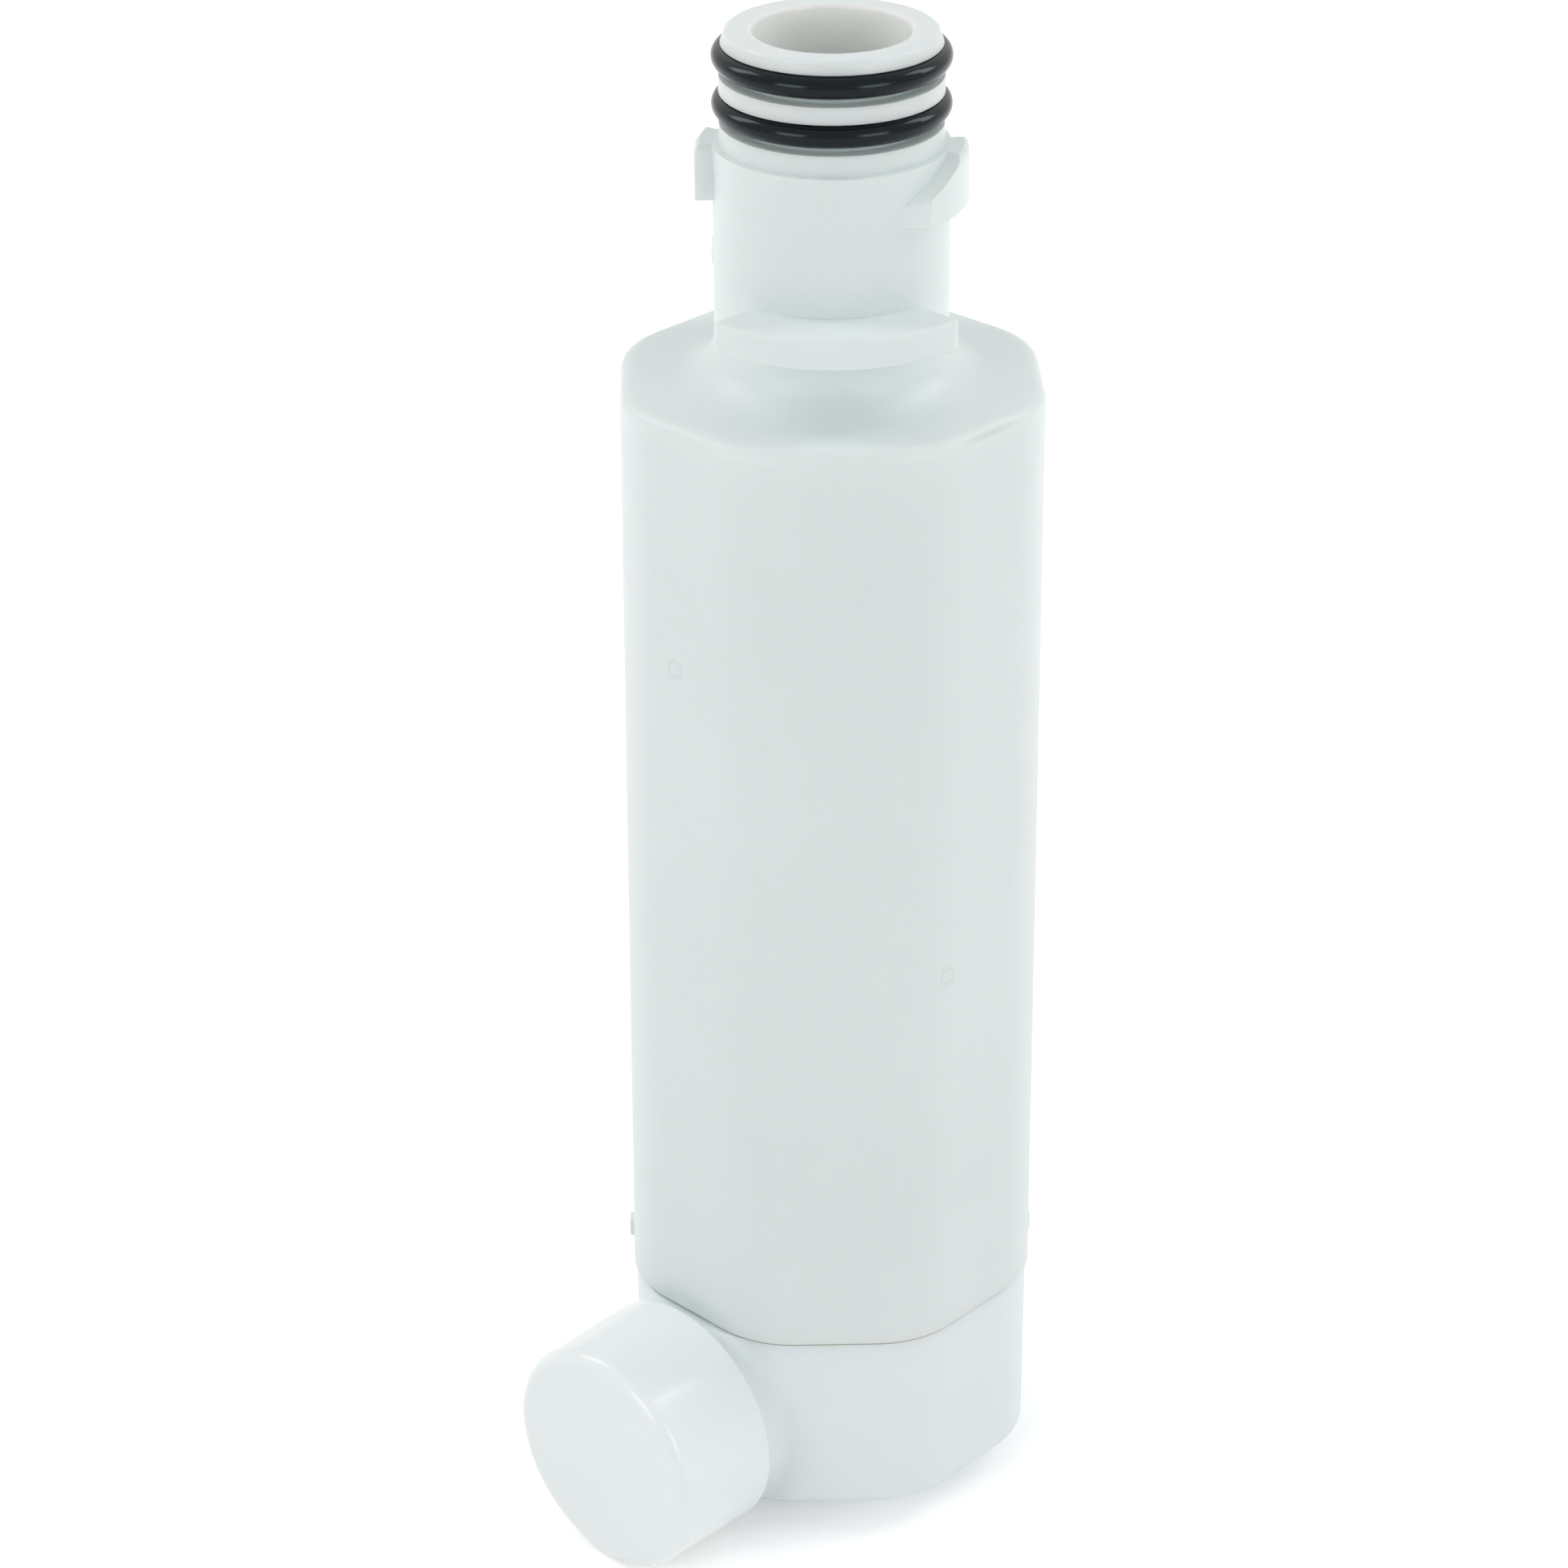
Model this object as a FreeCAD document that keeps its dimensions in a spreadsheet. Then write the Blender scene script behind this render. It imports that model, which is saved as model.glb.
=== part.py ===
"""Octagonal water filter cartridge, in millimetres.

+Z is up. The origin lies on the housing's axis, on the flat underside of the end cap. The neck stands on
+Z and the outlet spigot points along -Y. Water enters the neck, passes the carbon block from its outside
to its core, and leaves through the nipple and the spigot.
"""
import FreeCAD
import Part
import math
import os

import Sketcher

SIZES = {
    # Housing shell: an octagon that narrows from its open end at the seam up to the shoulder.
    "body_flats": (52.0, "across flats at the open lower end"),
    "shoulder_narrowing": (1.6, "how much less the shoulder measures across flats"),
    "corner_radius": (13.0, "round of the eight upright edges"),
    "seam_height": (25.0, "middle of the welded seam"),
    "seam_gap": (0.4, "open line at the seam"),
    "shoulder_height": (148.4, "top of the shoulder"),
    "housing_wall": (2.4, "wall of the shell"),
    "rim_radius": (1.6, "round of the shoulder's edge"),
    "nib_width": (2.0, "width of the two nibs above the seam"),
    "nib_height": (2.3, "height of the two nibs"),
    "nib_lift": (0.3, "nib above the housing's lower edge"),
    "nib_proud": (0.6, "how far a nib stands out"),
    # Neck.
    "neck_radius": (13.93, "main cylinder of the neck"),
    "neck_length": (42.0, "neck from the shoulder to its free end"),
    "neck_root": (5.0, "hollow round between shoulder and neck"),
    "neck_wall": (2.73, "wall of the neck below its seal end"),
    "bore_cone": (2.0, "length of the cone between a wide and a narrow bore"),
    "lug_proud": (2.12, "how far the bayonet lugs stand out from the neck"),
    "lug_drop": (6.6, "height of a lug, whose top is level with the neck's step"),
    "lug_back": (1.6, "lug behind the axis plane"),
    "lug_reach": (11.75, "low end in front of the axis plane"),
    "lug_heel": (1.1, "round of a lug's upper back edge"),
    "lug_edge": (1.3, "round of a lug's upper outer edge"),
    "lug_crest": (0.15, "top of that round above the lug, where it breaks off at a faint edge"),
    "ramp_half": (3.9, "half the length of a lug's ramp"),
    "ramp_foot": (3.0, "height of a lug at the foot of its ramp"),
    "ramp_tip": (0.6, "round between the ramp and the low end"),
    "tab_proud": (6.37, "how far the collar tab stands out from the neck"),
    "tab_lift": (8.0, "underside of the tab above the shoulder"),
    "tab_thickness": (3.9, "thickness of the tab"),
    "tab_corner": (0.8, "round of the tab's upright edges"),
    "tab_edge": (0.5, "round of the tab's upper and lower edges"),
    # Seal end, alike on the neck and on the outlet spigot.
    "step_depth": (0.81, "land of the seal end below the main cylinder"),
    "step_land": (2.5, "land between the step and the inner groove"),
    "land_width": (2.05, "land between the grooves"),
    "lip_length": (1.55, "lip between the outer groove and the free end"),
    "lip_depth": (1.43, "lip's free end below the main cylinder"),
    "lip_base_depth": (1.03, "lip beside the groove below the main cylinder"),
    "lip_round": (0.5, "outer round of the free end"),
    "mouth_round": (0.5, "inner round of the free end"),
    "ring_section": (2.62, "thickness of a seal ring"),
    "ring_proud": (0.05, "how far a seal ring stands out from the main cylinder"),
    "ring_slack": (0.05, "room between a seal ring and what it seals on"),
    "ring_seat": (0.15, "room between a seal ring and its groove's side towards the free end"),
    "groove_room": (1.03, "how much wider a groove is than its ring"),
    "groove_wall": (2.11, "wall between a ring groove and the bore"),
    # End cap and outlet.
    "cap_step": (0.65, "how much less the end cap measures across flats than the housing"),
    "base_thickness": (2.5, "floor of the end cap"),
    "weld_lip": (6.0, "lip that enters the housing"),
    "weld_slack": (0.15, "room between the lip and the housing"),
    "lip_wall": (1.3, "wall of that lip"),
    "boss_drop": (0.1, "top of the outlet's boss below the end cap's upper edge"),
    "boss_root": (0.5, "boss inside the end cap's wall"),
    "boss_cove": (3.4, "hollow round between the end cap's wall and the boss"),
    "outlet_length": (15.62, "spigot from the end cap to its free end"),
    "socket_radius": (5.6, "bore of the socket that takes the nipple"),
    "socket_wall": (2.2, "wall of the socket"),
    "socket_rise": (4.6, "top of the socket above the channel"),
    "channel_radius": (4.4, "water channel from the socket to the spigot"),
    "channel_wall": (2.2, "wall of the channel"),
    # Protective cap over the spigot.
    "cover_slack": (0.3, "room between the seal rings and the protective cap"),
    "cover_wall": (1.08, "wall of the protective cap at its closed end"),
    "cover_flare": (0.23, "how much thicker that wall is at the rim"),
    "cover_setback": (2.5, "bare boss between the end cap and the protective cap's rim"),
    "cover_end_gap": (0.64, "room between the spigot's end and the protective cap"),
    "cover_end_wall": (1.3, "closed end of the protective cap"),
    "cover_edge": (1.6, "outer round of the closed end"),
    # Filter block.
    "water_gap": (1.0, "room between the end plates and the end cap's wall"),
    "wrap_thickness": (1.2, "non-woven wrap"),
    "core_radius": (5.0, "hollow core of the carbon block"),
    "plate_thickness": (2.2, "floor of an end plate"),
    "plate_rim": (5.0, "rim of an end plate round the block"),
    "plate_wall": (1.2, "wall of an end plate's rim"),
    "plate_slack": (0.1, "glue line between wrap and rim"),
    "spacer_height": (7.0, "spacer fins on the top end plate"),
    "spacer_width": (2.0, "thickness of a spacer fin"),
    "spacer_length": (13.5, "length of a spacer fin"),
    "spacer_gap": (0.3, "room between the fins and the shoulder"),
    "nipple_slack": (0.3, "room between nipple and socket"),
    "nipple_ring": (1.8, "thickness of the nipple's seal ring"),
    "nipple_groove_room": (0.4, "how much wider the nipple's groove is than its ring"),
    "nipple_wall": (1.2, "wall between the nipple's groove and its bore"),
    "nipple_root": (1.5, "nipple between the plate and its groove"),
    "nipple_tip": (1.5, "nipple below its groove"),
}

SIDES = 8
PAIR = 2
FINS = 4
FULL_TURN = 360.0
QUARTER_TURN = FULL_TURN / 4
EIGHTH_TURN = FULL_TURN / 8
RAMP_TURN = 35.0
SEAM_TURN = -20.0
NEAR = 1e-4
ORIGIN_POINT = (-1, 1)
Z_AXIS_IN_SKETCH = -2
X_AXIS_IN_SKETCH = -1

doc = FreeCAD.newDocument("cartridge")


def make_sheet():
    """Driving dimensions, one row each: name, value, note."""
    sheet = doc.addObject("Spreadsheet::Sheet", "sizes")
    for row, (alias, (value, note)) in enumerate(SIZES.items(), start=1):
        sheet.set(f"A{row}", alias)
        sheet.set(f"B{row}", str(value))
        sheet.set(f"C{row}", note)
        sheet.setAlias(f"B{row}", alias)
    doc.recompute()
    return sheet


sheet = make_sheet()


def sized(text):
    """The text with each size's name turned into its cell in the sheet."""
    words = []
    word = ""
    for letter in text + " ":
        if letter.isalnum() or letter == "_":
            word += letter
            continue
        words.append(f"sizes.{word}" if word in SIZES else word)
        words.append(letter)
        word = ""
    return "".join(words).strip()


def value_of(text):
    """Number that an expression over the sizes gives now."""
    return float(sheet.evalExpression(sized(text)))


def bind(thing, prop, text):
    thing.setExpression(prop, sized(text))


# Derived sizes and places, written as expressions so that they follow the sizes.
HOUSING_LOW = "(seam_height + seam_gap / 2)"
CAP_TOP = "(seam_height - seam_gap / 2)"
CEILING = "(shoulder_height - housing_wall)"
DRAFT_PER_LENGTH = f"(shoulder_narrowing / (shoulder_height - {HOUSING_LOW}))"
NECK_FOOT = "(shoulder_height - housing_wall / 2)"
NECK_TOP = "(shoulder_height + neck_length)"
NECK_BORE = "(neck_radius - neck_wall)"
RING_OUTER = "(neck_radius + ring_proud)"
RING_MIDDLE = f"({RING_OUTER} - ring_section / 2)"
GROOVE_FLOOR = f"({RING_OUTER} - ring_section - ring_slack)"
GROOVE_WIDTH = "(ring_section + groove_room)"
OUTER_GROOVE = "lip_length"
INNER_GROOVE = f"(lip_length + {GROOVE_WIDTH} + land_width)"
SEAL_LENGTH = f"({INNER_GROOVE} + {GROOVE_WIDTH} + step_land)"
SEAL_RADIUS = "(neck_radius - step_depth)"
LIP_RADIUS = "(neck_radius - lip_depth)"
BORE_RADIUS = f"({GROOVE_FLOOR} - groove_wall)"
STEP_HEIGHT = f"({NECK_TOP} - {SEAL_LENGTH})"
LUG_LOW = f"({STEP_HEIGHT} - lug_drop)"
LUG_RADIUS = "(neck_radius + lug_proud)"
CAP_FLATS = "(body_flats - cap_step)"
WELD_FLATS = f"(body_flats - 2 * (housing_wall + weld_slack) - {DRAFT_PER_LENGTH} * weld_lip)"
HOLLOW_FLATS = f"({WELD_FLATS} - 2 * lip_wall)"
CAP_WALL = f"(({CAP_FLATS} - {HOLLOW_FLATS}) / 2)"
OUTLET_HEIGHT = f"({CAP_TOP} - boss_drop - neck_radius)"
OUTLET_REACH = f"({CAP_FLATS} / 2 + outlet_length)"
BOSS_END = f"({HOLLOW_FLATS} / 2 - boss_root)"
BOSS_FRONT = f"({OUTLET_REACH} - {SEAL_LENGTH})"
CHANNEL_OUTSIDE = "(channel_radius + channel_wall)"
CHANNEL_END = f"({BOSS_END} + channel_wall)"
SOCKET_OUTSIDE = "(socket_radius + socket_wall)"
SOCKET_TOP = f"({OUTLET_HEIGHT} + {CHANNEL_OUTSIDE} + socket_rise)"
SOCKET_FLOOR = f"({OUTLET_HEIGHT} - channel_radius / 2)"
COVER_INSIDE = f"({RING_OUTER} + cover_slack)"
COVER_OUTSIDE = f"({COVER_INSIDE} + cover_wall)"
COVER_FLOOR = f"({OUTLET_REACH} + cover_end_gap)"
COVER_END = f"({COVER_FLOOR} + cover_end_wall)"
COVER_RIM = f"({CAP_FLATS} / 2 + cover_setback)"
RIM_OUTSIDE = f"({HOLLOW_FLATS} / 2 - water_gap)"
RIM_INSIDE = f"({RIM_OUTSIDE} - plate_wall)"
WRAP_RADIUS = f"({RIM_INSIDE} - plate_slack)"
BLOCK_RADIUS = f"({WRAP_RADIUS} - wrap_thickness)"
BLOCK_LOW = f"({SOCKET_TOP} + plate_thickness)"
PLATE_HIGH = f"({CEILING} - spacer_gap - spacer_height)"
BLOCK_HIGH = f"({PLATE_HIGH} - plate_thickness)"
NIPPLE_RADIUS = "(socket_radius - nipple_slack)"
NIPPLE_FLOOR = "(socket_radius - nipple_ring - 2 * ring_slack)"
NIPPLE_BORE = f"({NIPPLE_FLOOR} - nipple_wall)"
NIPPLE_GROOVE = "(nipple_ring + nipple_groove_room)"
NIPPLE_SEAL = f"({SOCKET_TOP} - nipple_root - {NIPPLE_GROOVE} / 2)"
NIPPLE_END = f"({SOCKET_TOP} - nipple_root - {NIPPLE_GROOVE} - nipple_tip)"


def new_body(label):
    body = doc.addObject("PartDesign::Body", label)
    body.Label = label
    return body


def origin_feature(body, role):
    return next(item for item in body.Origin.OriginFeatures if item.Role == role)


def new_sketch(body, name, role, lift="0", shift="0", turn_axis=(0, 0, 1), turn=0.0):
    """Sketch on one of the body's planes, lifted off it, shifted along its upright and turned."""
    sketch = body.newObject("Sketcher::SketchObject", name)
    sketch.AttachmentSupport = [(origin_feature(body, role), "")]
    sketch.MapMode = "FlatFace"
    rotation = FreeCAD.Rotation(FreeCAD.Vector(*turn_axis), turn)
    sketch.AttachmentOffset = FreeCAD.Placement(FreeCAD.Vector(), rotation)
    bind(sketch, "AttachmentOffset.Base.y", shift)
    bind(sketch, "AttachmentOffset.Base.z", lift)
    return sketch


def axial_sketch(body, name):
    """Sketch through the upright axis, turned so that a seam of the neck lies clear of lugs and tabs."""
    return new_sketch(body, name, "YZ_Plane", turn_axis=(0, 1, 0), turn=SEAM_TURN)


def fix_point(sketch, piece, end, across, up):
    """Ties one end of a sketch piece to the two expressions of its place."""
    places = (("DistanceX", Z_AXIS_IN_SKETCH, across), ("DistanceY", X_AXIS_IN_SKETCH, up))
    for kind, axis, text in places:
        if text == "0":
            sketch.addConstraint(Sketcher.Constraint("PointOnObject", piece, end, axis))
            continue
        size = value_of(text)
        number = sketch.addConstraint(Sketcher.Constraint(kind, *ORIGIN_POINT, piece, end, size))
        bind(sketch, f"Constraints[{number}]", text)


def arc_between(start, end, radius):
    """Arc of that radius from start to end; a negative radius bows to the right of the way."""
    chord = end - start
    half = chord.Length / 2
    side = FreeCAD.Vector(-chord.y, chord.x, 0).normalize()
    sagitta = math.sqrt(max(radius * radius - half * half, 0.0))
    centre = (start + end) * 0.5 + side * (sagitta if radius > 0 else -sagitta)
    angles = [math.atan2(point.y - centre.y, point.x - centre.x) for point in (start, end)]
    if radius < 0:
        angles.reverse()
    circle = Part.Circle(centre, FreeCAD.Vector(0, 0, 1), abs(radius))
    return Part.ArcOfCircle(circle, angles[0], angles[1])


def outline(sketch, corners):
    """Closed outline through corners of (across, up) or (across, up, arc radius to the next corner).

    An arc radius with a leading minus turns clockwise.
    """
    places = [FreeCAD.Vector(value_of(corner[0]), value_of(corner[1]), 0) for corner in corners]
    ends = []
    for index, corner in enumerate(corners):
        start = places[index]
        end = places[(index + 1) % len(places)]
        if len(corner) == 2:
            piece = sketch.addGeometry(Part.LineSegment(start, end), False)
            ends.append((piece, 1, 2))
            continue
        clockwise = corner[2].startswith("-")
        text = corner[2].lstrip("-")
        size = value_of(text)
        piece = sketch.addGeometry(arc_between(start, end, -size if clockwise else size), False)
        ends.append((piece, 2, 1) if clockwise else (piece, 1, 2))
        number = sketch.addConstraint(Sketcher.Constraint("Radius", piece, size))
        bind(sketch, f"Constraints[{number}]", text)
    for index, (piece, first, last) in enumerate(ends):
        following = ends[(index + 1) % len(ends)]
        sketch.addConstraint(Sketcher.Constraint("Coincident", piece, last, following[0], following[1]))
        fix_point(sketch, piece, first, corners[index][0], corners[index][1])


def octagon(sketch, flats):
    """Regular octagon about the axis, with that size across its flats."""
    half = value_of(flats) / 2
    corner = half / math.cos(math.pi / SIDES)
    turns = [math.radians(EIGHTH_TURN * side + EIGHTH_TURN / 2) for side in range(SIDES)]
    places = [FreeCAD.Vector(corner * math.cos(turn), corner * math.sin(turn), 0) for turn in turns]
    for side in range(SIDES):
        sketch.addGeometry(Part.LineSegment(places[side - 1], places[side]), False)
    for side in range(SIDES):
        sketch.addConstraint(Sketcher.Constraint("Coincident", side, 2, (side + 1) % SIDES, 1))
        number = sketch.addConstraint(Sketcher.Constraint("Distance", *ORIGIN_POINT, side, half))
        bind(sketch, f"Constraints[{number}]", f"({flats}) / 2")
        lean = math.radians(EIGHTH_TURN * side + QUARTER_TURN)
        sketch.addConstraint(Sketcher.Constraint("Angle", X_AXIS_IN_SKETCH, 1, side, 1, lean))


def pad(body, name, sketch, length, reverse=False, kind="PartDesign::Pad"):
    feature = body.newObject(kind, name)
    feature.Profile = sketch
    feature.Reversed = reverse
    bind(feature, "Length", length)
    return feature


def turned(body, name, sketch, axis="V_Axis", kind="PartDesign::Revolution"):
    feature = body.newObject(kind, name)
    feature.Profile = sketch
    feature.ReferenceAxis = (sketch, [axis])
    feature.Angle = FULL_TURN
    return feature


def ring_of(body, name, original, count):
    """Copies of a feature evenly round the upright axis."""
    pattern = body.newObject("PartDesign::PolarPattern", name)
    pattern.Originals = [original]
    pattern.Axis = (origin_feature(body, "Z_Axis"), [""])
    pattern.Angle = FULL_TURN
    pattern.Occurrences = count
    body.Tip = pattern
    return pattern


def rounded(body, name, radius, chosen):
    """Round of the edges of the body's shape for which chosen(edge) holds."""
    doc.recompute()
    base = body.Tip
    names = [f"Edge{number}" for number, edge in enumerate(base.Shape.Edges, start=1) if chosen(edge)]
    feature = body.newObject("PartDesign::Fillet", name)
    feature.Base = (base, names)
    bind(feature, "Radius", radius)
    return feature


def is_upright(piece, low, high):
    """True for an edge or face that runs from the one height to the other."""
    box = piece.BoundBox
    return math.isclose(box.ZMin, low, abs_tol=NEAR) and math.isclose(box.ZMax, high, abs_tol=NEAR)


def is_level(piece, height):
    return is_upright(piece, height, height)


def faces_named(shape, chosen):
    return [f"Face{number}" for number, face in enumerate(shape.Faces, start=1) if chosen(face)]


def tapered(body, name, bottom, top, inward=False):
    """Draft of the upright faces between two heights, which narrows the body or its hollow upwards."""
    doc.recompute()
    base = body.Tip
    feature = body.newObject("PartDesign::Draft", name)
    feature.Base = (base, faces_named(base.Shape, lambda face: is_upright(face, bottom, top)))
    feature.NeutralPlane = (base, faces_named(base.Shape, lambda face: is_level(face, bottom)))
    feature.Reversed = inward
    bind(feature, "Angle", f"atan({DRAFT_PER_LENGTH} / 2)")
    return feature


def seal_end_outline(place):
    """Half a seal end from its step to its lip; place(radius, distance from the end) gives a corner."""
    return [
        place(SEAL_RADIUS, SEAL_LENGTH),
        place(SEAL_RADIUS, f"{INNER_GROOVE} + {GROOVE_WIDTH}"),
        place(GROOVE_FLOOR, f"{INNER_GROOVE} + {GROOVE_WIDTH}"),
        place(GROOVE_FLOOR, INNER_GROOVE),
        place(SEAL_RADIUS, INNER_GROOVE),
        place(SEAL_RADIUS, f"{OUTER_GROOVE} + {GROOVE_WIDTH}"),
        place(GROOVE_FLOOR, f"{OUTER_GROOVE} + {GROOVE_WIDTH}"),
        place(GROOVE_FLOOR, OUTER_GROOVE),
        place("(neck_radius - lip_base_depth)", OUTER_GROOVE),
        place(LIP_RADIUS, "lip_round") + ("lip_round",),
        place(f"({LIP_RADIUS} - lip_round)", "0"),
    ]


def seal_ring(label, groove, on_neck):
    """Seal ring in a groove of the neck or of the spigot, pushed towards the free end."""
    ring = doc.addObject("Part::Torus", label)
    ring.Label = label
    bind(ring, "Radius1", RING_MIDDLE)
    bind(ring, "Radius2", "ring_section / 2")
    drop = f"({groove} + ring_seat + ring_section / 2)"
    if on_neck:
        bind(ring, "Placement.Base.z", f"{NECK_TOP} - {drop}")
        return ring
    ring.Placement.Rotation = FreeCAD.Rotation(FreeCAD.Vector(1, 0, 0), QUARTER_TURN)
    bind(ring, "Placement.Base.y", f"{drop} - {OUTLET_REACH}")
    bind(ring, "Placement.Base.z", OUTLET_HEIGHT)
    return ring


def on_neck(radius, drop):
    """Corner of the neck's outline, its height counted down from the free end."""
    return (radius, f"{NECK_TOP} - ({drop})")


def on_spigot(radius, drop):
    """Corner of the spigot's outline, its place counted back from the free end."""
    return (f"{drop} - {OUTLET_REACH}", radius)


def housing():
    """Shell, shoulder, neck, lugs and tab in one moulding, open at its lower end."""
    body = new_body("housing")
    add_shell(body)
    add_lugs(body)
    neck = axial_sketch(body, "neck_outline")
    outline(neck, [
        ("0", NECK_FOOT),
        ("neck_radius + neck_root", NECK_FOOT),
        ("neck_radius + neck_root", "shoulder_height", "-neck_root"),
        ("neck_radius", "shoulder_height + neck_root"),
        ("neck_radius", STEP_HEIGHT),
        *seal_end_outline(on_neck),
        ("0", NECK_TOP),
    ])
    turned(body, "neck", neck)
    add_tabs(body)
    add_nibs(body)
    bore = axial_sketch(body, "bore_outline")
    outline(bore, [
        ("0", f"{CEILING} - housing_wall"),
        (NECK_BORE, f"{CEILING} - housing_wall"),
        (NECK_BORE, f"{STEP_HEIGHT} - bore_cone"),
        (BORE_RADIUS, STEP_HEIGHT),
        on_neck(BORE_RADIUS, "mouth_round") + ("-mouth_round",),
        on_neck(f"{BORE_RADIUS} + mouth_round", "0"),
        (f"{BORE_RADIUS} + mouth_round", f"{NECK_TOP} + mouth_round"),
        ("0", f"{NECK_TOP} + mouth_round"),
    ])
    turned(body, "bore", bore, kind="PartDesign::Groove")
    return body


def add_shell(body):
    """Tapered octagon with round corners and a rounded rim, hollowed from below."""
    bottom = value_of(HOUSING_LOW)
    ceiling = value_of(CEILING)
    top = value_of("shoulder_height")
    outside = new_sketch(body, "housing_octagon", "XY_Plane", lift=HOUSING_LOW)
    octagon(outside, "body_flats")
    pad(body, "housing_block", outside, f"shoulder_height - {HOUSING_LOW}")
    tapered(body, "housing_draft", bottom, top)
    rounded(body, "housing_corners", "corner_radius", lambda edge: is_upright(edge, bottom, top))
    inside = new_sketch(body, "hollow_octagon", "XY_Plane", lift=HOUSING_LOW)
    octagon(inside, "body_flats - 2 * housing_wall")
    depth = f"{CEILING} - {HOUSING_LOW}"
    pad(body, "housing_hollow", inside, depth, reverse=True, kind="PartDesign::Pocket")
    tapered(body, "hollow_draft", bottom, ceiling, inward=True)
    hollow_round = "corner_radius - housing_wall"
    rounded(body, "hollow_corners", hollow_round, lambda edge: is_upright(edge, bottom, ceiling))
    rounded(body, "housing_rim", "rim_radius", lambda edge: is_level(edge, top))


def add_lugs(body):
    """Two bayonet lugs: square blocks with a ramp, turned to one outside radius.

    They stand on a post, round which the neck is turned afterwards, so that the ramps leave the neck whole.
    """
    post = axial_sketch(body, "lug_post_outline")
    outline(post, [("0", NECK_FOOT), (NECK_BORE, NECK_FOOT), (NECK_BORE, STEP_HEIGHT), ("0", STEP_HEIGHT)])
    turned(body, "lug_post", post)
    lug = new_sketch(body, "lug_outline", "XZ_Plane", turn_axis=(0, 1, 0), turn=-EIGHTH_TURN)
    outline(lug, [
        ("-lug_back", LUG_LOW),
        ("lug_reach", LUG_LOW),
        ("lug_reach", STEP_HEIGHT),
        ("lug_heel - lug_back", STEP_HEIGHT, "lug_heel"),
        ("-lug_back", f"{STEP_HEIGHT} - lug_heel"),
    ])
    block = pad(body, "lug", lug, f"{LUG_RADIUS} + lug_edge", reverse=True)
    ring_of(body, "lugs", block, PAIR)
    ramp = new_sketch(body, "ramp_outline", "XZ_Plane", turn_axis=(0, 1, 0), turn=-EIGHTH_TURN - RAMP_TURN)
    fall = "(lug_drop - ramp_foot) * (lug_reach + ramp_half) / (2 * ramp_half)"
    outline(ramp, [
        ("-ramp_half", STEP_HEIGHT),
        ("lug_reach", f"{STEP_HEIGHT} - {fall}"),
        ("lug_reach", f"{STEP_HEIGHT} + lug_edge"),
        ("-ramp_half", f"{STEP_HEIGHT} + lug_edge"),
    ])
    cut = pad(body, "ramp", ramp, f"{LUG_RADIUS} + lug_edge", kind="PartDesign::Pocket")
    ring_of(body, "ramps", cut, PAIR)
    low = value_of(LUG_LOW)
    reach = value_of("lug_reach")

    def is_tip_edge(edge):
        """True for the upper edge of a lug's low end."""
        fronts = [abs(vertex.X - vertex.Y) / math.sqrt(2) for vertex in edge.Vertexes]
        at_the_end = all(math.isclose(front, reach, abs_tol=NEAR) for front in fronts)
        return at_the_end and edge.BoundBox.ZMin > low + NEAR

    rounded(body, "ramp_tips", "ramp_tip", is_tip_edge)
    trim = axial_sketch(body, "lug_trim_outline")
    outline(trim, [
        (LUG_RADIUS, f"{LUG_LOW} - lug_edge"),
        (f"2 * {LUG_RADIUS}", f"{LUG_LOW} - lug_edge"),
        (f"2 * {LUG_RADIUS}", f"{STEP_HEIGHT} + lug_edge"),
        (f"{LUG_RADIUS} - lug_edge", f"{STEP_HEIGHT} + lug_edge"),
        (f"{LUG_RADIUS} - lug_edge", f"{STEP_HEIGHT} + lug_crest", "-lug_edge"),
        (LUG_RADIUS, f"{STEP_HEIGHT} + lug_crest - lug_edge"),
    ])
    turned(body, "lug_trim", trim, kind="PartDesign::Groove")


def add_tabs(body):
    """Two tabs on the neck, each a quarter of a disc with rounded edges."""
    tab_low = "(shoulder_height + tab_lift)"
    tab_radius = "(neck_radius + tab_proud)"
    side = f"({tab_radius} / sqrt(2))"
    tab = new_sketch(body, "tab_outline", "XY_Plane", lift=tab_low, turn=-EIGHTH_TURN)
    outline(tab, [("0", "0"), (side, f"-{side}", tab_radius), (side, side)])
    block = pad(body, "tab", tab, "tab_thickness")
    ring_of(body, "tabs", block, PAIR)
    low = value_of(tab_low)
    high = value_of(f"{tab_low} + tab_thickness")
    neck_outside = value_of("neck_radius")

    def is_outside(edge):
        middle = edge.valueAt((edge.FirstParameter + edge.LastParameter) / 2)
        return math.hypot(middle.x, middle.y) > neck_outside + NEAR

    rounded(body, "tab_corners", "tab_corner", lambda edge: is_upright(edge, low, high) and is_outside(edge))
    rounded(body, "tab_edges", "tab_edge",
            lambda edge: (is_level(edge, low) or is_level(edge, high)) and is_outside(edge))


def add_nibs(body):
    """Two small nibs just above the seam, on opposite faces."""
    nib = new_sketch(body, "nib_outline", "XY_Plane", lift=f"{HOUSING_LOW} + nib_lift", turn=EIGHTH_TURN)
    outline(nib, [
        ("body_flats / 2 - housing_wall / 2", "-nib_width / 2"),
        ("body_flats / 2 + nib_proud", "-nib_width / 2"),
        ("body_flats / 2 + nib_proud", "nib_width / 2"),
        ("body_flats / 2 - housing_wall / 2", "nib_width / 2"),
    ])
    block = pad(body, "nib", nib, "nib_height")
    ring_of(body, "nibs", block, PAIR)


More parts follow.
